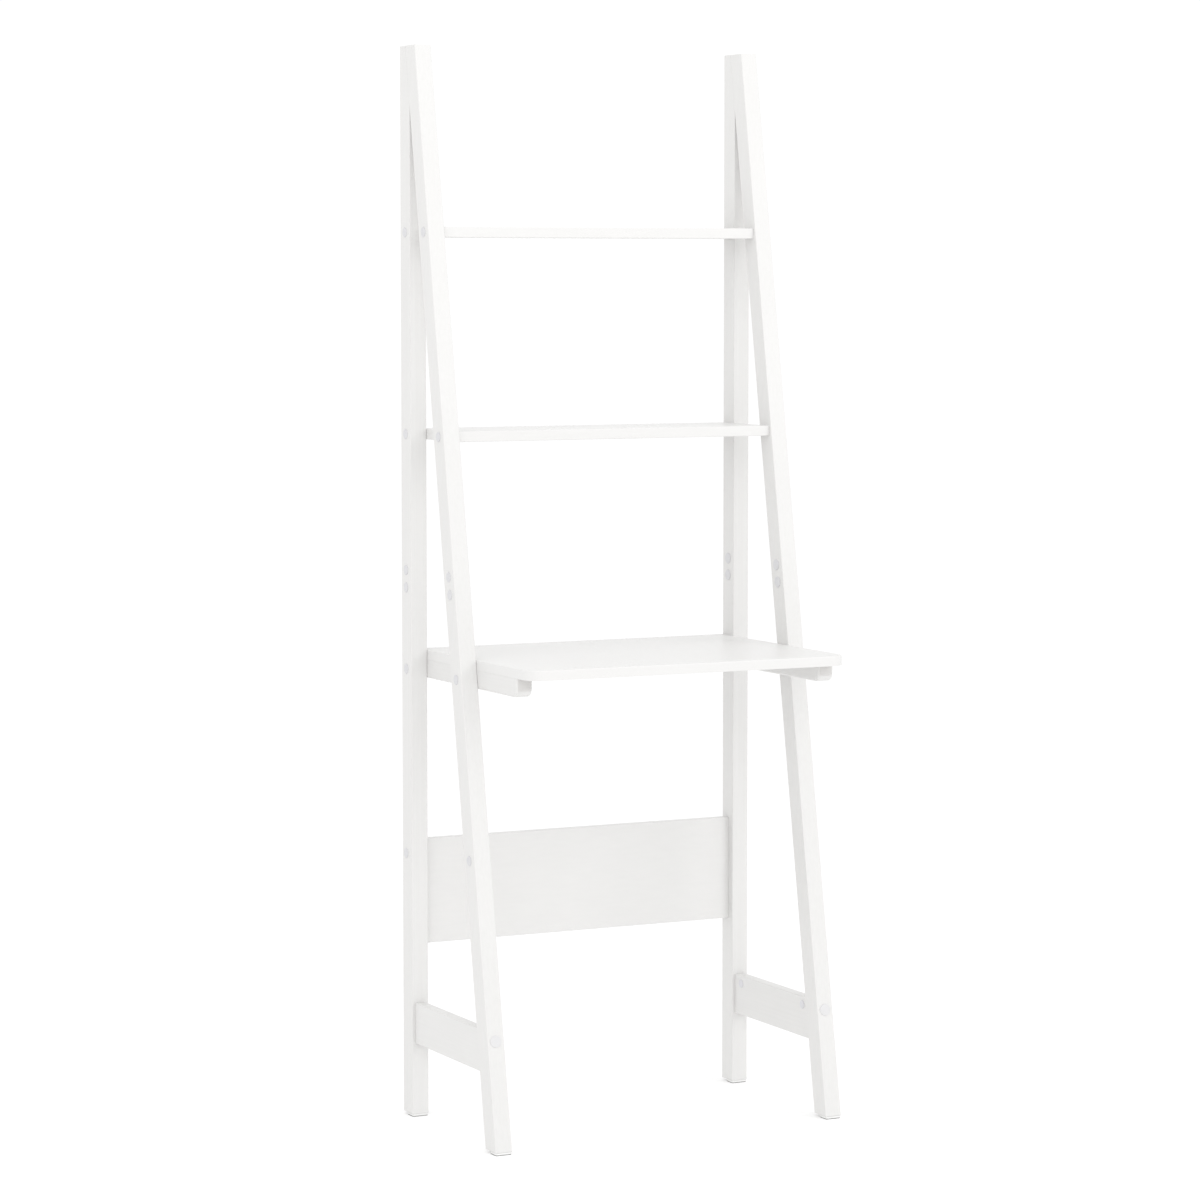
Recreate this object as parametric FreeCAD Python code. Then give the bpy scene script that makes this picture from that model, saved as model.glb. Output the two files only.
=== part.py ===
import FreeCAD, Part
import math
import os
from FreeCAD import Vector

# Ladder desk: two side frames, each a vertical rear post and a front post that leans on it, joined
# by two shelves, a desk board on two rails and a back panel. Millimetres, +Z up, +X to the right,
# -Y to the front. The origin is on the floor, midway between the side frames and midway between
# the rear faces of the rear posts and the front edge of the desk board.

# ---- Side frames ----
height = 1750.0             # floor to the flat tops of the posts
width = 626.0               # over the outer faces of the side frames
foot_spread = 359.0         # rear face of the rear post to the toe of the front post, at the foot
top_spread = 59.5           # the same two faces at the top
post_width = 29.0           # a post's size from side to side
post_depth = 37.0           # a post's size from front to back, square to its length
post_edge_radius = 1.5
joint_edge_radius = 0.4     # back edges of the front posts, so the joint at the top closes
end_edge_radius = 0.3       # on the ends of boards and stretchers, so their joints with the posts close

# ---- Lower stretchers, one in each side frame ----
stretcher_bottom = 122.0
stretcher_height = 67.5
stretcher_thickness = 18.0
stretcher_edge_radius = 1.5

# ---- Shelves ----
top_shelf_height = 1458.0       # floor to the upper face
middle_shelf_height = 1131.0
shelf_thickness = 17.0
shelf_front_inset = 5.0         # behind the front faces of the front posts, at the upper face
shelf_edge_radius = 1.2

# ---- Desk board and its rails ----
desk_height = 770.0             # floor to the upper face
desk_thickness = 16.0
desk_depth = 425.0              # rear faces of the posts to the front edge
desk_corner_radius = 28.0
desk_edge_radius = 2.0
desk_lower_edge_radius = 0.4    # nearly sharp, so the joint with the rails closes
rail_width = 28.0
rail_height = 30.0
rail_front_inset = 48.0         # rail's front end behind the desk's front edge
rail_nose_radius = 14.0         # rounding of the lower front corner
rail_edge_radius = 4.0          # upright edges of the nose and the lower edges

# ---- Back panel between the rear posts ----
panel_bottom = 284.5
panel_height = 173.5
panel_thickness = 15.0
panel_rear_inset = 8.0          # panel's rear face in front of the posts' rear faces
panel_edge_radius = 1.2

# ---- Glides under the posts ----
glide_thickness = 4.0
glide_length = 22.0             # front to back, from the front edge of the post's foot
glide_side_inset = 1.0
glide_front_inset = 0.5
glide_corner_radius = 1.5

# ---- Assembly screws through the posts into the boards, rails and panel ----
screw_radius = 3.0
screw_head_radius = 4.8
screw_head_height = 4.0
screw_seat_depth = 9.0          # outer face of the post to the seat of the head
board_screw_grip = 40.0         # length of thread in the end of a shelf or of the panel
rail_screw_grip = 20.0          # length of thread in a desk rail
screw_socket_width = 4.0        # across the flats of the key socket
panel_screw_drop = 23.0         # below the panel's upper edge

# ---- Screws that hold the desk board down on the rails ----
desk_screw_end_distance = 55.0  # from the front end of the rail to the nearest screw
desk_screw_offset = 38.0        # from the screw in a post to the desk screw beside it
desk_screw_radius = 2.0
desk_screw_head_radius = 3.8
desk_screw_head_height = 2.6
desk_screw_seat_depth = 14.0    # lower face of the rail to the seat of the head
desk_screw_bite = 11.0          # length of thread in the desk board
desk_screw_socket_width = 2.5

# ---- Bolts and barrel nuts that hold the stretchers ----
bolt_radius = 3.0
bolt_head_radius = 5.5
bolt_head_height = 5.0
bolt_socket_width = 5.0
bolt_seat_depth = 10.0          # face of the post to the seat of the head
bolt_drop = 13.5                # below the stretcher's upper edge
bolt_tail = 7.0                 # beyond the axis of the barrel nut
nut_distance = 22.0             # axis of the barrel nut from the end of the stretcher
nut_radius = 5.0
nut_skin = 1.5                  # wood left between the nut and the stretcher's outer face
nut_cap_gap = 1.3               # between the nut and the stem of its cap

# ---- Dowels ----
dowel_radius = 4.0
end_play = 0.6                  # room beyond the end of a dowel or screw in a blind hole
stretcher_dowel_rise = 20.0     # above the stretcher's lower edge
panel_dowel_rise = 30.0         # above the panel's lower edge
dowel_in_post = 14.0
dowel_in_board = 24.0
apex_dowel_count = 2            # evenly along the slanted joint at the top of a side frame
apex_dowel_in_rear = 12.0
apex_dowel_in_front = 20.0

# ---- Spare holes for another shelf height, closed with caps ----
spare_hole_rise = 116.5         # middle of the pair above the desk board's upper face
spare_hole_pitch = 28.5
spare_low_height = 455.0        # single blind hole in the front post
spare_low_depth = 15.0
spare_hole_radius = 5.0

# ---- Cover caps ----
cap_thickness = 1.2
cap_edge_radius = 0.8
screw_cap_radius = 8.0
inner_cap_radius = 9.0          # over the inner ends of the spare holes
bolt_cap_radius = 9.5
nut_cap_radius = 7.0
cap_stem_length = 2.0
nut_cap_stem_length = 1.2
bolt_cap_stem_slack = 0.6       # lets the stem lean in the level counterbore of the front bolt

# ---- Details that follow the size of what they are cut in ----
socket_depth_share = 0.6        # of the head's height
flat_share = 0.45               # largest edge radius, as a share of the wall it rounds

# ---- Fits ----
bore_clearance = 0.25           # round a shank or head that passes through
thread_clearance = 0.05         # round a thread in wood or in a nut
dowel_clearance = 0.05
nut_clearance = 0.10
stem_clearance = 0.15

# ---- Worked out from the sizes above ----
rear_face = desk_depth / 2
rear_post_front = rear_face - post_depth
slope = (foot_spread - top_spread) / (height - glide_thickness)
lean = math.atan(slope)
front_run = post_depth / math.cos(lean)         # level depth of a front post
span = width - 2 * post_width                   # clear width between the side frames
stretcher_top = stretcher_bottom + stretcher_height
panel_top = panel_bottom + panel_height
panel_front = rear_face - panel_rear_inset - panel_thickness
rail_top = desk_height - desk_thickness
rail_bottom = rail_top - rail_height
rail_front = rear_face - desk_depth + rail_front_inset
bolt_height = stretcher_top - bolt_drop
nut_length = stretcher_thickness - nut_skin - nut_cap_gap - nut_cap_stem_length
spare_hole_height = desk_height + spare_hole_rise
joint_height = (post_depth + front_run - top_spread) / slope    # of the slanted joint, from the tops down
screw_bore = screw_radius + bore_clearance
screw_counterbore = screw_head_radius + bore_clearance
bolt_counterbore = bolt_head_radius + bore_clearance
reach = 40.0                                    # how far a cutter runs past the faces it opens
overcut = 1.0                                   # the same, where a longer cutter would reach too far
dowel_overcut = 2 * dowel_radius * slope        # opens a slanted face over the whole width of a dowel
tolerance = 0.01                                # for finding edges by their place

SIDES = {"left": -1, "right": 1}
UP = Vector(0, 0, 1)
REARWARD = Vector(0, 1, 0)
FORWARD = Vector(0, -1, 0)
front_normal = Vector(0, -math.cos(lean), math.sin(lean))   # out of a front post's front face


def outer_x(side):
    return side * width / 2


def inner_x(side):
    return side * span / 2


def post_x(side):
    return (outer_x(side) + inner_x(side)) / 2


def outward(side):
    return Vector(side, 0, 0)


def front_face(z):
    """Y of a front post's front face at height z."""
    return rear_face - top_spread - slope * (height - z)


def back_face(z):
    """Y of a front post's back face at height z."""
    return front_face(z) + front_run


def front_axis(z):
    return (front_face(z) + back_face(z)) / 2


rear_axis = (rear_face + rear_post_front) / 2


# ---- Shape helpers ----
def box(x_range, y_range, z_range):
    low = Vector(min(x_range), min(y_range), min(z_range))
    high = Vector(max(x_range), max(y_range), max(z_range))
    size = high - low
    return Part.makeBox(size.x, size.y, size.z, low)


def rod(radius, start, direction, length):
    return Part.makeCylinder(radius, length, start, direction)


def drill(shape, cutters):
    for cutter in cutters:
        shape = shape.cut(cutter)
    return shape.removeSplitter()


def prism(points, depth):
    """Solid from a closed outline of points, swept along the vector depth."""
    outline = Part.makePolygon(points + [points[0]])
    return Part.Face(outline).extrude(depth)


def side_plate(outline, x_range):
    """Solid from (y, z) points, swept from one x to the other."""
    start = min(x_range)
    points = [Vector(start, y, z) for y, z in outline]
    return prism(points, Vector(max(x_range) - start, 0, 0))


def round_along(shape, radius, direction):
    """Round every straight edge that runs along the direction."""
    edges = []
    for edge in shape.Edges:
        run = edge.Vertexes[-1].Point - edge.Vertexes[0].Point
        if run.Length > radius and run.normalize().cross(direction).Length < tolerance:
            edges.append(edge)
    return shape.makeFillet(radius, edges)


def round_all(shape, radius):
    """Round every edge of the shape."""
    return shape.makeFillet(radius, shape.Edges)


def round_board(shape, radius, direction):
    """Round the edges along the direction, and nearly close the edges of the two ends."""
    shape = round_along(shape, radius, direction)
    rims = []
    for face in shape.Faces:
        flat = isinstance(face.Surface, Part.Plane)
        if flat and abs(face.normalAt(0, 0).dot(direction)) > math.cos(math.radians(45)):
            rims += face.Edges
    return shape.makeFillet(end_edge_radius, rims)


def limit(radius, *walls):
    """An edge radius that leaves part of the thinnest wall flat."""
    return min(radius, flat_share * min(walls))


def hexagon(width_across, start, direction, length):
    """Key socket cutter: a six-sided prism that starts at a point and runs along the direction."""
    circle = width_across / math.sqrt(3)
    turn = FreeCAD.Rotation(UP, direction)
    points = []
    for step in range(6):
        angle = math.radians(60 * step)
        points.append(start + turn.multVec(Vector(circle * math.cos(angle), circle * math.sin(angle), 0)))
    return prism(points, direction * length)


def fastener(seat, direction, shank, length, head, head_height, socket):
    """Headed screw or bolt: the head's underside is at seat and the shank runs along direction."""
    top = seat - direction * head_height
    solid = rod(head, top, direction, head_height).fuse(rod(shank, seat, direction, length))
    return solid.removeSplitter().cut(hexagon(socket, top, direction, head_height * socket_depth_share))


def cap(face_point, normal, radius, stem_radius, stem_length):
    """Cover cap whose flange lies on a face, with a stem into the hole."""
    flange = rod(radius, face_point, normal, cap_thickness)
    outer_rim = [edge for edge in flange.Edges if len(edge.Vertexes) == 1 and
                 abs((edge.CenterOfMass - face_point).dot(normal) - cap_thickness) < tolerance]
    flange = flange.makeFillet(limit(cap_edge_radius, 2 * cap_thickness), outer_rim)
    stem = rod(stem_radius, face_point - normal * stem_length, normal, stem_length)
    return flange.fuse(stem).removeSplitter()


# ---- Screws through the posts: where they are, what they cut, and their solids ----
def screw_points(z):
    """(y, z) of the two screws that hold a board at height z, one in each post."""
    return [(rear_axis, z), (front_axis(z), z)]


top_shelf_points = screw_points(top_shelf_height - shelf_thickness / 2)
middle_shelf_points = screw_points(middle_shelf_height - shelf_thickness / 2)
rail_points = screw_points(rail_top - rail_height / 2)
panel_point = (panel_front + panel_thickness / 2, panel_top - panel_screw_drop)
rear_screws = [top_shelf_points[0], middle_shelf_points[0], rail_points[0], panel_point]
front_screws = [top_shelf_points[1], middle_shelf_points[1], rail_points[1]]
spare_heights = [spare_hole_height + spare_hole_pitch / 2, spare_hole_height - spare_hole_pitch / 2]
apex_dowel_heights = [height - joint_height * number / (apex_dowel_count + 1)
                      for number in range(1, apex_dowel_count + 1)]


def post_screw_cutters(side, point):
    y, z = point
    inward = -outward(side)
    mouth = Vector(outer_x(side), y, z)
    return [rod(screw_counterbore, mouth - inward * reach, inward, reach + screw_seat_depth),
            rod(screw_bore, mouth, inward, post_width + reach)]


def pilot_cutter(side, point, grip):
    """Thread hole in a board or rail, from the post's inner face inwards."""
    y, z = point
    start = Vector(inner_x(side) + side * reach, y, z)
    return rod(screw_radius + thread_clearance, start, -outward(side), reach + grip + end_play)


def post_screws(points, grip):
    """The screws at these points in both side frames, as a list of solids."""
    solids = []
    for side in SIDES.values():
        for y, z in points:
            seat = Vector(outer_x(side) - side * screw_seat_depth, y, z)
            length = post_width - screw_seat_depth + grip
            solids.append(fastener(seat, -outward(side), screw_radius, length,
                                   screw_head_radius, screw_head_height, screw_socket_width))
    return solids


def outer_caps(points, hole_radius):
    solids = []
    for side in SIDES.values():
        for y, z in points:
            solids.append(cap(Vector(outer_x(side), y, z), outward(side), screw_cap_radius,
                              hole_radius - stem_clearance, cap_stem_length))
    return solids


def inner_caps(points, hole_radius):
    solids = []
    for side in SIDES.values():
        for y, z in points:
            solids.append(cap(Vector(inner_x(side), y, z), -outward(side), inner_cap_radius,
                              hole_radius - stem_clearance, cap_stem_length))
    return solids


def spare_cutter(side, y, z):
    """Spare hole right through a post."""
    start = Vector(outer_x(side) + side * reach, y, z)
    return rod(spare_hole_radius, start, -outward(side), post_width + 2 * reach)


# ---- Dowels: a hole in each piece and the dowel between them ----
def dowel_hole(point, direction, depth):
    """Blind hole from a point on the joint, into the wood along the direction."""
    start = point - direction * dowel_overcut
    return rod(dowel_radius + dowel_clearance, start, direction, dowel_overcut + depth + end_play)


def dowel(point, direction, before, after):
    """Dowel through a joint: before is its length behind the joint, after its length ahead."""
    return rod(dowel_radius, point - direction * before, direction, before + after)


def apex_dowel_points(side):
    """Points on the slanted joint between the posts of one side frame."""
    return [Vector(post_x(side), back_face(z), z) for z in apex_dowel_heights]


def stretcher_dowel_points(side):
    """Rear and front dowel of one stretcher, at the faces of the posts."""
    z = stretcher_bottom + stretcher_dowel_rise
    return [Vector(post_x(side), rear_post_front, z), Vector(post_x(side), back_face(z), z)]


def panel_dowel_point(side):
    return Vector(inner_x(side), panel_front + panel_thickness / 2, panel_bottom + panel_dowel_rise)


# ---- Bolts of the stretchers ----
def rear_bolt_seat(side):
    return Vector(post_x(side), rear_face - bolt_seat_depth, bolt_height)


def front_bolt_seat(side):
    return Vector(post_x(side), front_face(bolt_height) + bolt_seat_depth, bolt_height)


def rear_nut_y():
    return rear_post_front - nut_distance


def front_nut_y():
    return back_face(bolt_height) + nut_distance


def bolt_cutters(seat, direction, length):
    """Counterbore and through hole of a bolt whose head seats at this point."""
    return [rod(bolt_counterbore, seat - direction * reach, direction, reach),
            rod(bolt_radius + bore_clearance, seat, direction, length + end_play)]


def bolt_lengths():
    """Lengths under the head of the rear and the front bolt."""
    rear = rear_face - bolt_seat_depth - rear_nut_y() + bolt_tail
    front = front_nut_y() + bolt_tail - front_face(bolt_height) - bolt_seat_depth
    return rear, front


def stretcher_faces(side):
    """X of a stretcher's inner and outer faces."""
    return (post_x(side) - side * stretcher_thickness / 2, post_x(side) + side * stretcher_thickness / 2)


def nut_outer_end(side):
    return stretcher_faces(side)[1] - side * nut_skin


# ---- Posts ----
def make_rear_post(side):
    post = box((inner_x(side), outer_x(side)), (rear_post_front, rear_face), (glide_thickness, height))
    post = round_all(post, limit(post_edge_radius, post_width, post_depth))
    low = stretcher_top
    high = height + reach
    ahead = [(back_face(low), low), (back_face(high), high),
             (back_face(high) - foot_spread, high), (back_face(low) - foot_spread, low)]
    slanted_cut = side_plate(ahead, (inner_x(side) - side * reach, outer_x(side) + side * reach))
    cutters = [slanted_cut]
    for point in rear_screws:
        cutters += post_screw_cutters(side, point)
    for z in spare_heights:
        cutters.append(spare_cutter(side, rear_axis, z))
    rear_length = bolt_lengths()[0]
    seat = rear_bolt_seat(side)
    cutters += bolt_cutters(seat, FORWARD, rear_length)
    mouth = Vector(seat.x, rear_face, seat.z)
    cutters.append(rod(bolt_cap_radius + stem_clearance, mouth + REARWARD * reach, FORWARD,
                       reach + cap_thickness))
    for point in apex_dowel_points(side):
        cutters.append(dowel_hole(point, -front_normal, apex_dowel_in_rear))
    cutters.append(dowel_hole(stretcher_dowel_points(side)[0], REARWARD, dowel_in_post))
    cutters.append(dowel_hole(panel_dowel_point(side), outward(side), dowel_in_post))
    return drill(post, cutters)


def is_back_edge(edge):
    """Whether an edge of a front post runs up along its back face."""
    middle = edge.CenterOfMass
    runs_up = edge.BoundBox.XLength < tolerance and edge.Length > foot_spread
    return runs_up and abs(middle.y - back_face(middle.z)) < tolerance


def make_front_post(side):
    foot = glide_thickness
    outline = [(front_face(foot), foot), (back_face(foot), foot),
               (back_face(height), height), (front_face(height), height)]
    post = side_plate(outline, (inner_x(side), outer_x(side)))
    other_edges = [edge for edge in post.Edges if not is_back_edge(edge)]
    post = post.makeFillet(limit(post_edge_radius, post_width, post_depth), other_edges)
    back_edges = [edge for edge in post.Edges if is_back_edge(edge)]
    post = post.makeFillet(joint_edge_radius, back_edges)
    cutters = []
    for point in front_screws:
        cutters += post_screw_cutters(side, point)
    for z in spare_heights:
        cutters.append(spare_cutter(side, front_axis(z), z))
    low_mouth = Vector(outer_x(side), front_axis(spare_low_height), spare_low_height)
    cutters.append(rod(spare_hole_radius, low_mouth, -outward(side), spare_low_depth))
    cutters += bolt_cutters(front_bolt_seat(side), REARWARD, bolt_lengths()[1])
    for point in apex_dowel_points(side):
        cutters.append(dowel_hole(point, front_normal, apex_dowel_in_front))
    cutters.append(dowel_hole(stretcher_dowel_points(side)[1], FORWARD, dowel_in_post))
    return drill(post, cutters)


def make_stretcher(side):
    low, high = stretcher_bottom, stretcher_top
    outline = [(rear_post_front, low), (rear_post_front, high),
               (back_face(high), high), (back_face(low), low)]
    stretcher = side_plate(outline, stretcher_faces(side))
    stretcher = round_board(stretcher, limit(stretcher_edge_radius, stretcher_thickness), REARWARD)
    rear_length, front_length = bolt_lengths()
    bore = bolt_radius + bore_clearance
    cutters = [rod(bore, rear_bolt_seat(side), FORWARD, rear_length + end_play),
               rod(bore, front_bolt_seat(side), REARWARD, front_length + end_play)]
    rear_point, front_point = stretcher_dowel_points(side)
    cutters.append(dowel_hole(rear_point, FORWARD, dowel_in_board))
    cutters.append(dowel_hole(front_point, REARWARD, dowel_in_board))
    for y in (rear_nut_y(), front_nut_y()):
        start = Vector(nut_outer_end(side), y, bolt_height)
        cutters.append(rod(nut_radius + nut_clearance, start, -outward(side), stretcher_thickness + reach))
    return drill(stretcher, cutters)


# ---- Boards ----
def make_shelf(upper_face, points):
    shelf = box((inner_x(-1), inner_x(1)), (front_face(upper_face) + shelf_front_inset, rear_face),
                (upper_face - shelf_thickness, upper_face))
    shelf = round_board(shelf, limit(shelf_edge_radius, shelf_thickness), outward(1))
    cutters = [pilot_cutter(side, point, board_screw_grip) for side in SIDES.values() for point in points]
    return drill(shelf, cutters)


def desk_screw_points(side):
    """Points on a rail's lower face, above which a screw goes up into the desk board."""
    rear_screw_y, front_screw_y = rail_points[0][0], rail_points[1][0]
    x = inner_x(side) - side * rail_width / 2
    places = [rear_screw_y - desk_screw_offset, front_screw_y + desk_screw_offset,
              rail_front + desk_screw_end_distance]
    return [Vector(x, y, rail_bottom) for y in places]


def make_desk_top():
    front = rear_face - desk_depth
    board = box((inner_x(-1), inner_x(1)), (front, rear_face), (rail_top, desk_height))
    corners = [edge for edge in board.Edges
               if edge.BoundBox.YMax < front + tolerance and edge.BoundBox.ZLength > tolerance]
    board = board.makeFillet(desk_corner_radius, corners)
    upper = [edge for edge in board.Edges if edge.BoundBox.ZMin > desk_height - tolerance]
    board = board.makeFillet(limit(desk_edge_radius, desk_thickness), upper)
    lower = [edge for edge in board.Edges if edge.BoundBox.ZMax < rail_top + tolerance]
    board = board.makeFillet(limit(desk_lower_edge_radius, desk_thickness), lower)
    cutters = []
    for side in SIDES.values():
        for point in desk_screw_points(side):
            mouth = Vector(point.x, point.y, rail_top - overcut)
            cutters.append(rod(desk_screw_radius + thread_clearance, mouth, UP,
                               overcut + desk_screw_bite + end_play))
    return drill(board, cutters)


def make_desk_rail(side):
    rail = box((inner_x(side) - side * rail_width, inner_x(side)), (rail_front, rear_face),
               (rail_bottom, rail_top))
    nose = [edge for edge in rail.Edges
            if edge.BoundBox.YMax < rail_front + tolerance and edge.BoundBox.ZMax < rail_bottom + tolerance]
    rail = rail.makeFillet(limit(rail_nose_radius, 2 * rail_height), nose)
    uprights = [edge for edge in rail.Edges if edge.BoundBox.YMax < rail_front + tolerance
                and edge.BoundBox.XLength < tolerance]
    rail = rail.makeFillet(limit(rail_edge_radius, rail_width, rail_height), uprights)
    cutters = [pilot_cutter(side, point, rail_screw_grip) for point in rail_points]
    for point in desk_screw_points(side):
        start = point - UP * overcut
        cutters.append(rod(desk_screw_head_radius + bore_clearance, start, UP,
                           overcut + desk_screw_seat_depth))
        cutters.append(rod(desk_screw_radius + bore_clearance, start, UP, rail_height + 2 * overcut))
    return drill(rail, cutters)


def make_back_panel():
    panel = box((inner_x(-1), inner_x(1)), (panel_front, panel_front + panel_thickness),
                (panel_bottom, panel_top))
    panel = round_board(panel, limit(panel_edge_radius, panel_thickness), outward(1))
    cutters = []
    for side in SIDES.values():
        cutters.append(pilot_cutter(side, panel_point, board_screw_grip))
        cutters.append(dowel_hole(panel_dowel_point(side), -outward(side), dowel_in_board))
    return drill(panel, cutters)


# ---- Glides ----
def make_glide(side, foot_front):
    """Glide under the foot of a post whose front face meets the floor at foot_front."""
    front = foot_front + glide_front_inset
    glide = box((inner_x(side) + side * glide_side_inset, outer_x(side) - side * glide_side_inset),
                (front, front + glide_length), (0, glide_thickness))
    return round_along(glide, limit(glide_corner_radius, glide_length), UP)


# ---- Loose fasteners ----
def make_desk_screws():
    solids = []
    for side in SIDES.values():
        for point in desk_screw_points(side):
            seat = point + UP * desk_screw_seat_depth
            length = rail_height - desk_screw_seat_depth + desk_screw_bite
            solids.append(fastener(seat, UP, desk_screw_radius, length, desk_screw_head_radius,
                                   desk_screw_head_height, desk_screw_socket_width))
    return solids


def make_bolts():
    solids = []
    rear_length, front_length = bolt_lengths()
    for side in SIDES.values():
        solids.append(fastener(rear_bolt_seat(side), FORWARD, bolt_radius, rear_length,
                               bolt_head_radius, bolt_head_height, bolt_socket_width))
        solids.append(fastener(front_bolt_seat(side), REARWARD, bolt_radius, front_length,
                               bolt_head_radius, bolt_head_height, bolt_socket_width))
    return solids


def make_barrel_nuts():
    solids = []
    for side in SIDES.values():
        for y in (rear_nut_y(), front_nut_y()):
            axis_point = Vector(nut_outer_end(side), y, bolt_height)
            nut = rod(nut_radius, axis_point, -outward(side), nut_length)
            start = Vector(post_x(side), y - reach, bolt_height)
            solids.append(nut.cut(rod(bolt_radius + thread_clearance, start, REARWARD, 2 * reach)))
    return solids


def make_dowels(kind):
    solids = []
    for side in SIDES.values():
        if kind == "apex":
            for point in apex_dowel_points(side):
                solids.append(dowel(point, front_normal, apex_dowel_in_rear, apex_dowel_in_front))
        elif kind == "stretcher":
            rear_point, front_point = stretcher_dowel_points(side)
            solids.append(dowel(rear_point, FORWARD, dowel_in_post, dowel_in_board))
            solids.append(dowel(front_point, REARWARD, dowel_in_post, dowel_in_board))
        else:
            solids.append(dowel(panel_dowel_point(side), outward(side), dowel_in_board, dowel_in_post))
    return solids


def make_front_bolt_caps():
    """Caps that lie on the leaning front faces, over the level counterbores."""
    solids = []
    for side in SIDES.values():
        centre = Vector(post_x(side), front_face(bolt_height), bolt_height)
        solids.append(cap(centre, front_normal, bolt_cap_radius,
                          bolt_counterbore - bolt_cap_stem_slack, cap_stem_length))
    return solids


def make_rear_bolt_caps():
    """Caps let in flush with the rear faces, which stand against a wall."""
    solids = []
    for side in SIDES.values():
        centre = Vector(post_x(side), rear_face - cap_thickness, bolt_height)
        solids.append(cap(centre, REARWARD, bolt_cap_radius, bolt_counterbore - stem_clearance,
                          cap_stem_length))
    return solids


def make_nut_caps():
    solids = []
    for side in SIDES.values():
        for y in (rear_nut_y(), front_nut_y()):
            centre = Vector(stretcher_faces(side)[0], y, bolt_height)
            solids.append(cap(centre, -outward(side), nut_cap_radius, nut_radius - stem_clearance,
                              nut_cap_stem_length))
    return solids


# ---- The nodes ----
nodes = {}
for name, side in SIDES.items():
    nodes[name + "_rear_post"] = make_rear_post(side)
    nodes[name + "_front_post"] = make_front_post(side)
    nodes[name + "_stretcher"] = make_stretcher(side)
    nodes[name + "_desk_rail"] = make_desk_rail(side)
    nodes[name + "_rear_glide"] = make_glide(side, rear_post_front)
    nodes[name + "_front_glide"] = make_glide(side, front_face(glide_thickness))

nodes["top_shelf"] = make_shelf(top_shelf_height, top_shelf_points)
nodes["middle_shelf"] = make_shelf(middle_shelf_height, middle_shelf_points)
nodes["desk_top"] = make_desk_top()
nodes["back_panel"] = make_back_panel()

spare_rear_points = [(rear_axis, z) for z in spare_heights]
spare_front_points = [(front_axis(z), z) for z in spare_heights]
spare_low_point = (front_axis(spare_low_height), spare_low_height)

groups = {
    "top_shelf_screws": post_screws(top_shelf_points, board_screw_grip),
    "middle_shelf_screws": post_screws(middle_shelf_points, board_screw_grip),
    "desk_rail_screws": post_screws(rail_points, rail_screw_grip),
    "back_panel_screws": post_screws([panel_point], board_screw_grip),
    "desk_top_screws": make_desk_screws(),
    "stretcher_bolts": make_bolts(),
    "stretcher_barrel_nuts": make_barrel_nuts(),
    "apex_dowels": make_dowels("apex"),
    "stretcher_dowels": make_dowels("stretcher"),
    "back_panel_dowels": make_dowels("panel"),
    "top_shelf_screw_caps": outer_caps(top_shelf_points, screw_counterbore),
    "middle_shelf_screw_caps": outer_caps(middle_shelf_points, screw_counterbore),
    "desk_rail_screw_caps": outer_caps(rail_points, screw_counterbore),
    "back_panel_screw_caps": outer_caps([panel_point], screw_counterbore),
    "spare_hole_outer_caps": outer_caps(spare_rear_points + spare_front_points + [spare_low_point],
                                        spare_hole_radius),
    "spare_hole_inner_caps": inner_caps(spare_rear_points + spare_front_points, spare_hole_radius),
    "front_bolt_caps": make_front_bolt_caps(),
    "rear_bolt_caps": make_rear_bolt_caps(),
    "barrel_nut_caps": make_nut_caps(),
}
for name, solids in groups.items():
    nodes[name] = Part.makeCompound(solids)

os.makedirs("parts", exist_ok=True)
for name, shape in nodes.items():
    shape.exportStep("parts/" + name + ".step")
    print(name, len(shape.Solids), "solids, volume", round(shape.Volume), "valid", shape.isValid())
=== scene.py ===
import math

import bmesh
import bpy
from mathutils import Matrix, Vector


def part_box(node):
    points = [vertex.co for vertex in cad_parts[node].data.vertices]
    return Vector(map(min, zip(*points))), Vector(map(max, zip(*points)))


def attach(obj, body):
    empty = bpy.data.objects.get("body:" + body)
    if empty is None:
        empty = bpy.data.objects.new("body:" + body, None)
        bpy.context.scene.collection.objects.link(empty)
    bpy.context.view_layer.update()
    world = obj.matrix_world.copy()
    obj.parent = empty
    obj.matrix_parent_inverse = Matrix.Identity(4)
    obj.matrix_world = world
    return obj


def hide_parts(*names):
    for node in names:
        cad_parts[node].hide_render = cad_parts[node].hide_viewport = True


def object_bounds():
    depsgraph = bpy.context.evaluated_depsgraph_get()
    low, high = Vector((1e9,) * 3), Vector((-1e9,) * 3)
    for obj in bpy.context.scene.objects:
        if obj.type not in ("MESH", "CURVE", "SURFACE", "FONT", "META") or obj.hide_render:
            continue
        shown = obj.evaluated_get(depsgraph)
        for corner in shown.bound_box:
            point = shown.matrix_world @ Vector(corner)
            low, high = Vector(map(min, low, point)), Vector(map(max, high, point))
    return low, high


# A white ladder desk in a white studio. Metres, in the CAD frame: +Z up, -Y to the front.

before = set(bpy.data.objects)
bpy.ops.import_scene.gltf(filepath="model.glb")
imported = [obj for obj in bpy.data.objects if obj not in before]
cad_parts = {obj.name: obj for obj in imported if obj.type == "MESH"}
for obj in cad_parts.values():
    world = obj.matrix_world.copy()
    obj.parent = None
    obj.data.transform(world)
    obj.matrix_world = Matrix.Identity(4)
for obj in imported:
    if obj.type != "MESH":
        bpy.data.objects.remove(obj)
cad_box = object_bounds()

MILLIMETRE = 0.001

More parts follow.
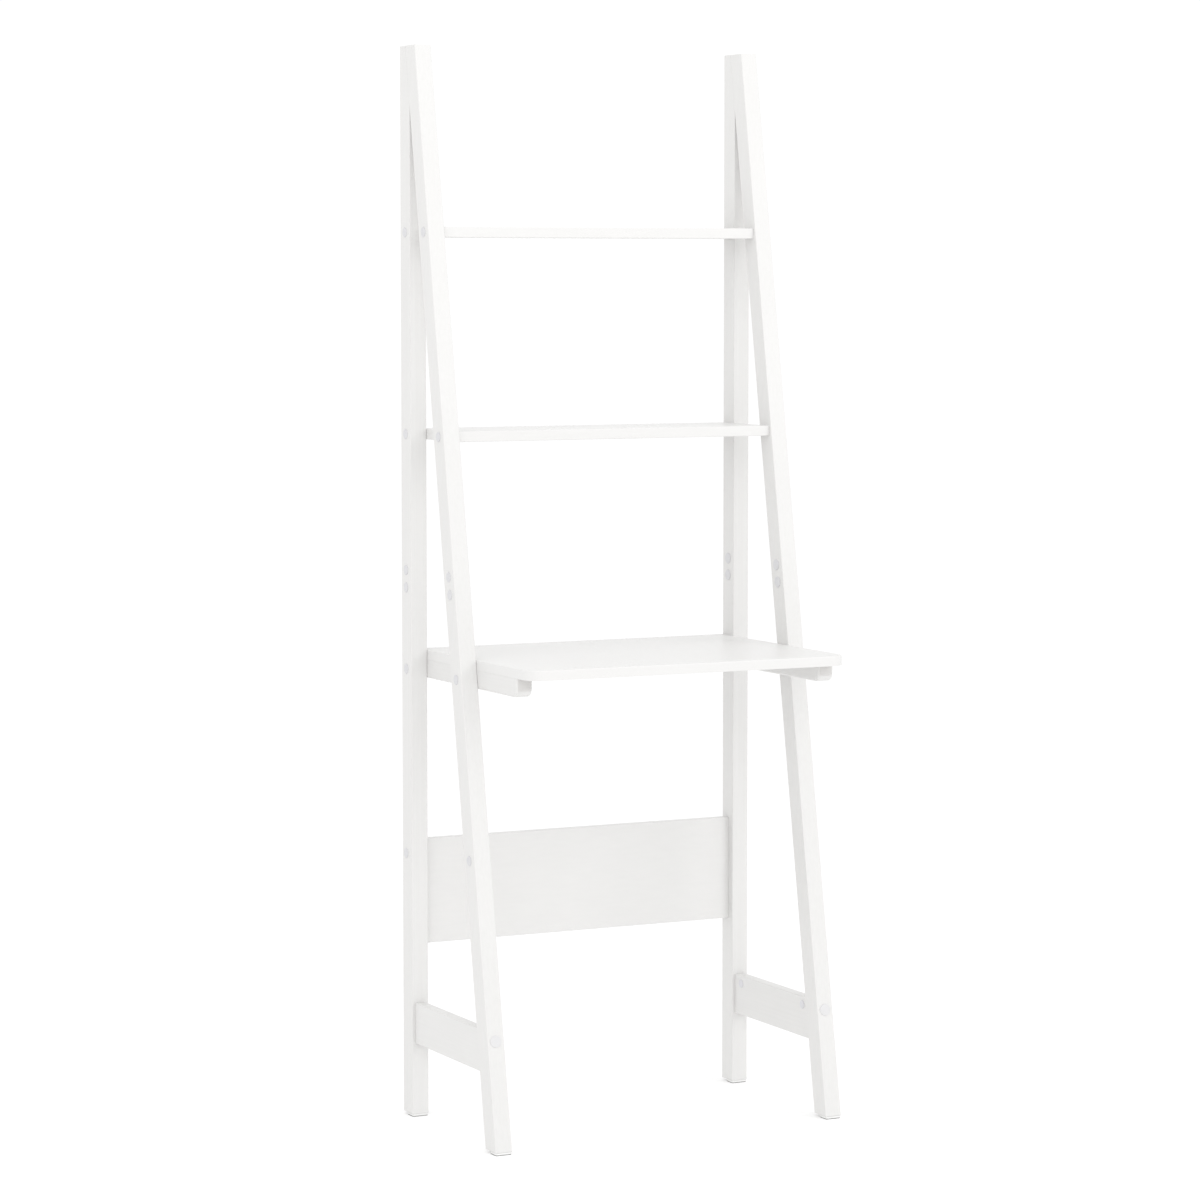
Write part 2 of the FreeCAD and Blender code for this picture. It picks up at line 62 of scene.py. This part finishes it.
# ---- Camera ----
CAMERA_PLACE = (-2.8665, -5.6189, 1.3814)
CAMERA_AZIMUTH = math.radians(-26.57)       # turned from looking along +Y
CAMERA_TILT = math.radians(-4.247)          # below the horizon
CAMERA_LENS = 116.96                        # in millimetres, as the sensor
SENSOR_WIDTH = 36.0
CAMERA_SHIFT = -0.03                        # as a share of the frame's width

# ---- Studio ----
DOME_LEVEL = 1.04               # white from all round
FLOOR_RADIUS = 8.0
FLOOR_SEGMENTS = 96
FLOOR_TONE = (0.80, 0.80, 0.80)
FLOOR_ROUGHNESS = 0.9
FLOOR_GLOW = 0.20               # keeps the floor as white as the dome behind it
CLIP_REACH = 4 * FLOOR_RADIUS   # how far the camera sees
SOFTBOXES = {                   # place, size and power
    "key": ((2.6, -3.2, 2.8), 2.0, 27.0),
    "fill": ((-2.4, -3.0, 2.9), 2.0, 14.5),
    "front": ((-2.0, -5.2, 2.6), 3.0, 15.0),
    "side": ((-1.3, -0.3, 2.1), 0.6, 1.0),
    "top": ((0.0, -0.6, 4.2), 2.0, 7.0),
}

# ---- Colours (linear) ----
LACQUER_LIGHT = (0.737, 0.732, 0.723)
LACQUER_DARK = (0.711, 0.706, 0.696)
BOARD_LIGHT = (0.742, 0.737, 0.728)
BOARD_DARK = (0.728, 0.723, 0.714)
# painted shade on the end faces of the wooden pieces
END_FACE_SHADE_TONE = (0.632, 0.619, 0.606)
# painted shade: the colour that joints and corners are darkened towards
PAINTED_CORNER_SHADE_TONE = (0.62, 0.61, 0.60)
CAP_LIGHT = (0.650, 0.650, 0.664)
CAP_DARK = (0.624, 0.624, 0.640)
BOLT_CAP_LIGHT = (0.690, 0.687, 0.693)
BOLT_CAP_DARK = (0.668, 0.665, 0.671)
NUT_CAP_LIGHT = (0.664, 0.662, 0.686)
NUT_CAP_DARK = (0.634, 0.632, 0.656)
PAD_LIGHT = (0.86, 0.86, 0.855)
PAD_DARK = (0.82, 0.82, 0.81)
# the pads' dark bottom layer: painted shadow along the foot's contact line
SHADOW_SOLE_LIGHT = (0.30, 0.295, 0.285)
SHADOW_SOLE_DARK = (0.20, 0.195, 0.19)
ZINC_LIGHT = (0.72, 0.73, 0.74)
ZINC_DARK = (0.58, 0.59, 0.61)
BEECH_LIGHT = (0.70, 0.50, 0.31)
BEECH_DARK = (0.58, 0.38, 0.21)

# ---- Textures ----
# Cells are noise cells per metre, one number for each axis where the grain stretches them out.
NOISE_BAND = (0.3, 0.7)             # where most values of a noise lie

WOOD_GRAIN_CELLS = (260.0, 260.0, 5.0)
WOOD_PORE_CELLS = (900.0, 900.0, 26.0)
WOOD_PEEL_CELLS = 650.0
WOOD_CLOUD_CELLS = 7.0
WOOD_CLOUD_WEIGHT = 0.5             # beside the grain, in the tone
WOOD_TONE_BAND = (0.5, 1.0)
WOOD_PORE_BAND = (0.60, 0.74)
WOOD_PORE_TINT = 0.22
WOOD_GRAIN_DEPTH = 0.10 * MILLIMETRE
WOOD_PORE_DEPTH = -0.05 * MILLIMETRE
WOOD_ROUGHNESS = (0.40, 0.50)

# painted shade on the end faces, as far as this band and the tint below say
END_FACE_SHADE_BAND = (0.80, 0.96)       # squared cosine of a face's turn from the cut across the grain
END_FACE_SHADE_TINT = 0.9

BOARD_ROLLER_CELLS = (30.0, 160.0, 160.0)
BOARD_PEEL_CELLS = 520.0
BOARD_CLOUD_CELLS = 5.0
BOARD_CLOUD_WEIGHT = 0.6
BOARD_TONE_BAND = (0.55, 1.05)
BOARD_ROLLER_DEPTH = 0.04 * MILLIMETRE
BOARD_ROUGHNESS = (0.36, 0.44)

PEEL_DEPTH = 0.03 * MILLIMETRE      # orange peel of the lacquer
LACQUER_PAINTED_CORNER_SHADE = 2 * MILLIMETRE    # joints and corners narrower than this get painted shade, from ambient occlusion
LACQUER_PAINTED_CORNER_SHADE_TINT = 0.15
OPENNESS_BAND = (0.35, 0.8)         # from a deep joint to a place in the open

CAP_MOULD_CELLS = 900.0
CAP_CLOUD_CELLS = 60.0
CAP_MOULD_DEPTH = 0.02 * MILLIMETRE
# painted shade round the caps' rims, from ambient occlusion
CAP_PAINTED_CORNER_SHADE = 1 * MILLIMETRE
CAP_PAINTED_CORNER_SHADE_TINT = 0.3
CAP_ROUGHNESS = (0.34, 0.46)

PAD_FIBRE_CELLS = 1400.0
PAD_WEAR_CELLS = 160.0
PAD_TONE_BAND = (0.75, 1.25)
PAD_BODY_DEPTH = 0.02 * MILLIMETRE
PAD_SHADOW_SOLE_DEPTH = 0.08 * MILLIMETRE
PAD_ROUGHNESS = (0.6, 0.85)

ZINC_SPANGLE_CELLS = 700.0
ZINC_SPANGLE_DEPTH = 0.02 * MILLIMETRE
ZINC_ROUGHNESS = (0.26, 0.42)

BEECH_GRAIN_CELLS = (500.0, 500.0, 30.0)
BEECH_FLECK_CELLS = (1500.0, 1500.0, 200.0)
BEECH_FLECK_BAND = (0.6, 0.7)
BEECH_FLECK_TINT = 0.5
BEECH_GRAIN_DEPTH = 0.05 * MILLIMETRE
BEECH_ROUGHNESS = (0.6, 0.75)

# ---- Pads under the posts ----
SHADOW_SOLE_SHARE = 0.24                   # of the pad's height, given to the dark layer of painted shadow
PAD_WAIST = 0.6 * MILLIMETRE        # how far the body pulls in where it meets the dark bottom layer
PAD_ROUNDING = 2.5 * MILLIMETRE     # of the upright corners
PAD_SOFTENING = 0.35 * MILLIMETRE   # bevel of the level rims
CORNER_STEPS = 5
BODY_SLOT, SHADOW_SOLE_SLOT = 0, 1         # material slots of a pad


# ---- Material helpers ----
class Recipe:
    """A node material that is put together step by step."""

    def __init__(self, name):
        self.material = bpy.data.materials.new(name)
        self.material.use_nodes = True
        self.tree = self.material.node_tree
        self.shader = self.tree.nodes["Principled BSDF"]
        self.place = self.add("ShaderNodeTexCoord").outputs["Object"]

    def add(self, kind, **settings):
        node = self.tree.nodes.new(kind)
        for key, value in settings.items():
            setattr(node, key, value)
        return node

    def link(self, source, target):
        self.tree.links.new(source, target)

    def turned(self, vector, turn):
        """A vector, turned about the X, Y and Z axes."""
        node = self.add("ShaderNodeVectorRotate", rotation_type="EULER_XYZ")
        self.link(vector, node.inputs["Vector"])
        node.inputs["Rotation"].default_value = turn
        return node.outputs["Vector"]

    def stretch(self, cells, turn=(0.0, 0.0, 0.0)):
        """The object's coordinates, turned and then scaled along each axis."""
        mapping = self.add("ShaderNodeMapping", vector_type="POINT")
        self.link(self.turned(self.place, turn), mapping.inputs["Vector"])
        mapping.inputs["Scale"].default_value = cells
        return mapping.outputs["Vector"]

    def end_face_shade(self, turn):
        """1 on faces cut across the grain and 0 on the faces along it: where the end faces get painted
        shade.
        """
        parts = self.add("ShaderNodeSeparateXYZ")
        normal = self.add("ShaderNodeTexCoord").outputs["Normal"]
        self.link(self.turned(normal, turn), parts.inputs["Vector"])
        along = parts.outputs["Z"]
        return self.spread(self.math("MULTIPLY", along, along), END_FACE_SHADE_BAND)

    def noise(self, vector, scale=1.0, detail=3.0, roughness=0.55):
        node = self.add("ShaderNodeTexNoise")
        self.link(vector, node.inputs["Vector"])
        node.inputs["Scale"].default_value = scale
        node.inputs["Detail"].default_value = detail
        node.inputs["Roughness"].default_value = roughness
        return node.outputs["Fac"]

    def spread(self, value, band, reach=(0.0, 1.0)):
        """A value from one end of the band to the other, spread over the reach and clamped."""
        node = self.add("ShaderNodeMapRange", clamp=True)
        self.link(value, node.inputs["Value"])
        for name, number in zip(("From Min", "From Max", "To Min", "To Max"), (*band, *reach)):
            node.inputs[name].default_value = number
        return node.outputs["Result"]

    def math(self, operation, first, second):
        """Two values, each a number or an output, multiplied or added."""
        node = self.add("ShaderNodeMath", operation=operation)
        for socket, value in zip(node.inputs, (first, second)):
            if isinstance(value, float):
                socket.default_value = value
            else:
                self.link(value, socket)
        return node.outputs["Value"]

    def blend(self, amount, first, second):
        """Two colours, each an RGB triple or an output, mixed by amount."""
        node = self.add("ShaderNodeMix", data_type="RGBA", blend_type="MIX")
        factor, low, high = node.inputs[0], node.inputs[6], node.inputs[7]     # its RGBA sockets
        self.link(amount, factor)
        for socket, colour in ((low, first), (high, second)):
            if isinstance(colour, tuple):
                socket.default_value = (*colour, 1.0)
            else:
                self.link(colour, socket)
        return node.outputs[2]

    def tint(self, colour, towards, amount, strength):
        """A colour drawn towards another, as far as the amount times the strength says."""
        return self.blend(self.math("MULTIPLY", amount, strength), colour, towards)

    def painted_corner_shade(self, distance):
        """Painted shade: 0 in the open and 1 deep in a joint or corner narrower than the distance, from
        ambient occlusion.
        """
        node = self.add("ShaderNodeAmbientOcclusion", samples=8)
        node.inputs["Distance"].default_value = distance
        return self.spread(node.outputs["AO"], OPENNESS_BAND, (1.0, 0.0))

    def relief(self, *layers):
        """Bumps from (height output, depth in metres) layers, one on top of the other."""
        normal = None
        for height, depth in layers:
            bump = self.add("ShaderNodeBump")
            bump.inputs["Distance"].default_value = depth
            self.link(height, bump.inputs["Height"])
            if normal is not None:
                self.link(normal, bump.inputs["Normal"])
            normal = bump.outputs["Normal"]
        self.link(normal, self.shader.inputs["Normal"])

    def finish(self, colour, roughness, **sockets):
        """Connects colour and roughness, and sets plain numbers on the shader's own sockets."""
        self.link(colour, self.shader.inputs["Base Color"])
        self.link(roughness, self.shader.inputs["Roughness"])
        for name, value in sockets.items():
            self.shader.inputs[name.replace("_", " ")].default_value = value
        return self.material


def lean_angle():
    """How far a front post leans from upright, from the depth of its box over its height."""
    low, high = (Vector(corner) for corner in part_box("left_front_post"))
    rear_low, rear_high = (Vector(corner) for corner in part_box("left_rear_post"))
    level_depth = rear_high.y - rear_low.y
    run = (high.y - low.y) - level_depth
    return math.atan(run / (high.z - low.z))


# Turns that bring the grain of each kind of piece onto the Z axis.
GRAIN_UPRIGHT = (0.0, 0.0, 0.0)
GRAIN_LEANING = (-lean_angle(), 0.0, 0.0)
GRAIN_REARWARD = (math.pi / 2, 0.0, 0.0)


def lacquered_wood(name, turn):
    """Solid wood under satin white lacquer: the grain and pores still show faintly through it."""
    recipe = Recipe(name)
    grain = recipe.noise(recipe.stretch(WOOD_GRAIN_CELLS, turn), detail=4.0)
    pores = recipe.noise(recipe.stretch(WOOD_PORE_CELLS, turn), detail=2.0)
    pores = recipe.spread(pores, WOOD_PORE_BAND)
    peel = recipe.noise(recipe.place, scale=WOOD_PEEL_CELLS, detail=2.0)
    cloud = recipe.noise(recipe.place, scale=WOOD_CLOUD_CELLS, detail=2.0)
    tone = recipe.math("ADD", grain, recipe.math("MULTIPLY", cloud, WOOD_CLOUD_WEIGHT))
    colour = recipe.blend(recipe.spread(tone, WOOD_TONE_BAND), LACQUER_DARK, LACQUER_LIGHT)
    colour = recipe.tint(colour, LACQUER_DARK, pores, WOOD_PORE_TINT)
    # painted shade on the end faces
    colour = recipe.tint(colour, END_FACE_SHADE_TONE, recipe.end_face_shade(turn), END_FACE_SHADE_TINT)
    # painted shade in joints and corners
    colour = recipe.tint(colour, PAINTED_CORNER_SHADE_TONE, recipe.painted_corner_shade(LACQUER_PAINTED_CORNER_SHADE), LACQUER_PAINTED_CORNER_SHADE_TINT)
    recipe.relief((grain, WOOD_GRAIN_DEPTH), (pores, WOOD_PORE_DEPTH), (peel, PEEL_DEPTH))
    return recipe.finish(colour, recipe.spread(grain, NOISE_BAND, WOOD_ROUGHNESS),
                         Specular_IOR_Level=0.30, Coat_Weight=0.06, Coat_Roughness=0.30)


def lacquered_board(name):
    """Smooth board under the same lacquer, with only its orange peel and a faint roller texture."""
    recipe = Recipe(name)
    peel = recipe.noise(recipe.place, scale=BOARD_PEEL_CELLS, detail=2.0)
    roller = recipe.noise(recipe.stretch(BOARD_ROLLER_CELLS))
    cloud = recipe.noise(recipe.place, scale=BOARD_CLOUD_CELLS, detail=2.0)
    tone = recipe.math("ADD", roller, recipe.math("MULTIPLY", cloud, BOARD_CLOUD_WEIGHT))
    colour = recipe.blend(recipe.spread(tone, BOARD_TONE_BAND), BOARD_DARK, BOARD_LIGHT)
    # painted shade in joints and corners
    colour = recipe.tint(colour, PAINTED_CORNER_SHADE_TONE, recipe.painted_corner_shade(LACQUER_PAINTED_CORNER_SHADE), LACQUER_PAINTED_CORNER_SHADE_TINT)
    recipe.relief((roller, BOARD_ROLLER_DEPTH), (peel, PEEL_DEPTH))
    return recipe.finish(colour, recipe.spread(roller, NOISE_BAND, BOARD_ROUGHNESS),
                         Specular_IOR_Level=0.45, Coat_Weight=0.15, Coat_Roughness=0.25)


def cap_plastic(name, dark, light):
    """Moulded cover caps, a little bluer and darker than the lacquer."""
    recipe = Recipe(name)
    mould = recipe.noise(recipe.place, scale=CAP_MOULD_CELLS)
    cloud = recipe.noise(recipe.place, scale=CAP_CLOUD_CELLS, detail=2.0)
    colour = recipe.blend(recipe.spread(cloud, NOISE_BAND), dark, light)
    # painted shade round the cap's rim
    colour = recipe.tint(colour, PAINTED_CORNER_SHADE_TONE, recipe.painted_corner_shade(CAP_PAINTED_CORNER_SHADE), CAP_PAINTED_CORNER_SHADE_TINT)
    recipe.relief((mould, CAP_MOULD_DEPTH))
    return recipe.finish(colour, recipe.spread(mould, NOISE_BAND, CAP_ROUGHNESS), Specular_IOR_Level=0.5)


def pad_plastic(name, dark, light, fibre_depth):
    """Pads under the posts: a pale moulded body, or its dark bottom layer, whose colour is painted shadow
    along the foot's contact line.
    """
    recipe = Recipe(name)
    fibre = recipe.noise(recipe.place, scale=PAD_FIBRE_CELLS, detail=4.0, roughness=0.7)
    wear = recipe.noise(recipe.place, scale=PAD_WEAR_CELLS)
    tone = recipe.spread(recipe.math("ADD", fibre, wear), PAD_TONE_BAND)
    recipe.relief((fibre, fibre_depth))
    return recipe.finish(recipe.blend(tone, dark, light), recipe.spread(wear, NOISE_BAND, PAD_ROUGHNESS),
                         Specular_IOR_Level=0.3)


def zinc_steel(name):
    """Bright zinc plate on screws, bolts and nuts."""
    recipe = Recipe(name)
    spangle = recipe.noise(recipe.place, scale=ZINC_SPANGLE_CELLS, detail=4.0, roughness=0.65)
    colour = recipe.blend(recipe.spread(spangle, NOISE_BAND), ZINC_DARK, ZINC_LIGHT)
    recipe.relief((spangle, ZINC_SPANGLE_DEPTH))
    return recipe.finish(colour, recipe.spread(spangle, NOISE_BAND, ZINC_ROUGHNESS), Metallic=1.0)


def bare_beech(name):
    """Bare beech dowels, with short dark flecks along the grain."""
    recipe = Recipe(name)
    grain = recipe.noise(recipe.stretch(BEECH_GRAIN_CELLS, GRAIN_REARWARD), detail=4.0)
    flecks = recipe.noise(recipe.stretch(BEECH_FLECK_CELLS, GRAIN_REARWARD))
    colour = recipe.blend(recipe.spread(grain, NOISE_BAND), BEECH_DARK, BEECH_LIGHT)
    colour = recipe.tint(colour, BEECH_DARK, recipe.spread(flecks, BEECH_FLECK_BAND), BEECH_FLECK_TINT)
    recipe.relief((grain, BEECH_GRAIN_DEPTH))
    return recipe.finish(colour, recipe.spread(grain, NOISE_BAND, BEECH_ROUGHNESS))


# ---- Materials of the CAD nodes ----
UPRIGHT = lacquered_wood("lacquered_upright", GRAIN_UPRIGHT)
LEANING = lacquered_wood("lacquered_leaning", GRAIN_LEANING)
REARWARD = lacquered_wood("lacquered_stretcher", GRAIN_REARWARD)
BOARD = lacquered_board("lacquered_board")
CAPS = cap_plastic("cap_plastic", CAP_DARK, CAP_LIGHT)
BOLT_CAPS = cap_plastic("bolt_cap_plastic", BOLT_CAP_DARK, BOLT_CAP_LIGHT)
NUT_CAPS = cap_plastic("nut_cap_plastic", NUT_CAP_DARK, NUT_CAP_LIGHT)
ZINC = zinc_steel("zinc_steel")
BEECH = bare_beech("bare_beech")
PAD = pad_plastic("pad_body", PAD_DARK, PAD_LIGHT, PAD_BODY_DEPTH)
# dark bottom layer of the pads: painted shadow
SHADOW_SOLE = pad_plastic("pad_sole", SHADOW_SOLE_DARK, SHADOW_SOLE_LIGHT, PAD_SHADOW_SOLE_DEPTH)

FINISHES = {                # by the end of a node's name; the first that fits counts
    "_rear_post": UPRIGHT,
    "_front_post": LEANING,
    "_stretcher": REARWARD,
    "_desk_rail": REARWARD,
    "_shelf": BOARD,
    "desk_top": BOARD,
    "back_panel": BOARD,
    "_bolt_caps": BOLT_CAPS,
    "_nut_caps": NUT_CAPS,
    "_caps": CAPS,
    "_dowels": BEECH,
    "_glide": PAD,
}


def finish_of(node_name):
    """The material of a CAD node: the screws, bolts and nuts are all that is left for zinc."""
    for ending, material in FINISHES.items():
        if node_name.endswith(ending):
            return material
    return ZINC


for node_name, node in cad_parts.items():
    for material_slot in node.material_slots:
        material_slot.material = finish_of(node_name)


# ---- The pads' shapes ----
def rounded_outline(low, high, radius):
    """(x, y) points round a rectangle with round corners, anticlockwise."""
    left, right = low.x + radius, high.x - radius
    front, back = low.y + radius, high.y - radius
    centres = [(right, back), (left, back), (left, front), (right, front)]
    points = []
    for quarter, (x, y) in enumerate(centres):
        for step in range(CORNER_STEPS + 1):
            angle = math.pi * (quarter / 2 + 0.5 * step / CORNER_STEPS)
            points.append((x + radius * math.cos(angle), y + radius * math.sin(angle)))
    return points


def stacked_rings(mesh, low, high, levels, slot):
    """Closed skin through level rings: each level is (height, how far it is set in from the box)."""
    rings = []
    for z, inset in levels:
        margin = Vector((inset, inset, 0.0))
        outline = rounded_outline(low + margin, high - margin, PAD_ROUNDING)
        rings.append([mesh.verts.new((x, y, z)) for x, y in outline])
    faces = [mesh.faces.new(list(reversed(rings[0]))), mesh.faces.new(rings[-1])]
    count = len(rings[0])
    for lower, upper in zip(rings, rings[1:]):
        for index in range(count):
            following = (index + 1) % count
            faces.append(mesh.faces.new((lower[index], lower[following], upper[following], upper[index])))
    for face in faces:
        face.material_index = slot


def make_pad(node_name):
    """Moulded pad on a dark bottom layer of painted shadow, in the place of a plain glide."""
    low, high = (Vector(corner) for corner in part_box(node_name))
    seam = low.z + SHADOW_SOLE_SHARE * (high.z - low.z)
    soft = PAD_SOFTENING
    # the dark bottom layer of painted shadow
    shadow_sole = [(low.z, soft), (low.z + soft, 0.0), (seam - soft, 0.0), (seam, soft)]
    body = [(seam, PAD_WAIST), (seam + soft, PAD_WAIST), (seam + 2 * soft, 0.0),
            (high.z - soft, 0.0), (high.z, soft)]
    mesh = bmesh.new()
    stacked_rings(mesh, low, high, shadow_sole, SHADOW_SOLE_SLOT)
    stacked_rings(mesh, low, high, body, BODY_SLOT)
    data = bpy.data.meshes.new(node_name.replace("glide", "pad"))
    mesh.to_mesh(data)
    mesh.free()
    piece = bpy.data.objects.new(data.name, data)
    bpy.context.scene.collection.objects.link(piece)
    data.materials.append(PAD)
    data.materials.append(SHADOW_SOLE)
    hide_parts(node_name)
    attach(piece, "root")


for node_name in list(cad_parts):
    if node_name.endswith("_glide"):
        make_pad(node_name)


# ---- The studio's floor, light and camera ----
def make_floor():
    material = bpy.data.materials.new("floor")
    material.use_nodes = True
    shader = material.node_tree.nodes["Principled BSDF"]
    shader.inputs["Base Color"].default_value = (*FLOOR_TONE, 1.0)
    shader.inputs["Roughness"].default_value = FLOOR_ROUGHNESS
    shader.inputs["Specular IOR Level"].default_value = 0.0
    shader.inputs["Emission Color"].default_value = (1.0, 1.0, 1.0, 1.0)
    shader.inputs["Emission Strength"].default_value = FLOOR_GLOW
    mesh = bmesh.new()
    bmesh.ops.create_circle(mesh, cap_ends=True, radius=FLOOR_RADIUS, segments=FLOOR_SEGMENTS)
    data = bpy.data.meshes.new("floor")
    mesh.to_mesh(data)
    mesh.free()
    data.materials.append(material)
    floor = bpy.data.objects.new("floor", data)
    bpy.context.scene.collection.objects.link(floor)


def make_softbox(name, place, size, power, target):
    """Square lamp at a place, turned to face the target."""
    light = bpy.data.lights.new(name, "AREA")
    light.shape = "SQUARE"
    light.size = size
    light.energy = power
    softbox = bpy.data.objects.new(name, light)
    softbox.location = place
    softbox.rotation_euler = (target - Vector(place)).to_track_quat("-Z", "Y").to_euler()
    bpy.context.scene.collection.objects.link(softbox)


def make_world():
    world = bpy.data.worlds.new("studio")
    world.use_nodes = True
    background = world.node_tree.nodes["Background"]
    background.inputs["Color"].default_value = (1.0, 1.0, 1.0, 1.0)
    background.inputs["Strength"].default_value = DOME_LEVEL
    bpy.context.scene.world = world


def make_camera():
    data = bpy.data.cameras.new("camera")
    data.sensor_width = SENSOR_WIDTH
    data.lens = CAMERA_LENS
    data.shift_y = CAMERA_SHIFT
    data.clip_end = CLIP_REACH
    camera = bpy.data.objects.new("camera", data)
    camera.location = CAMERA_PLACE
    camera.rotation_euler = (math.pi / 2 + CAMERA_TILT, 0.0, CAMERA_AZIMUTH)
    bpy.context.scene.collection.objects.link(camera)
    bpy.context.scene.camera = camera


middle = (cad_box[0] + cad_box[1]) / 2
make_floor()
make_world()
for softbox_name, (place, size, power) in SOFTBOXES.items():
    make_softbox(softbox_name, place, size, power, middle)
make_camera()
bpy.context.scene.view_settings.view_transform = "Standard"
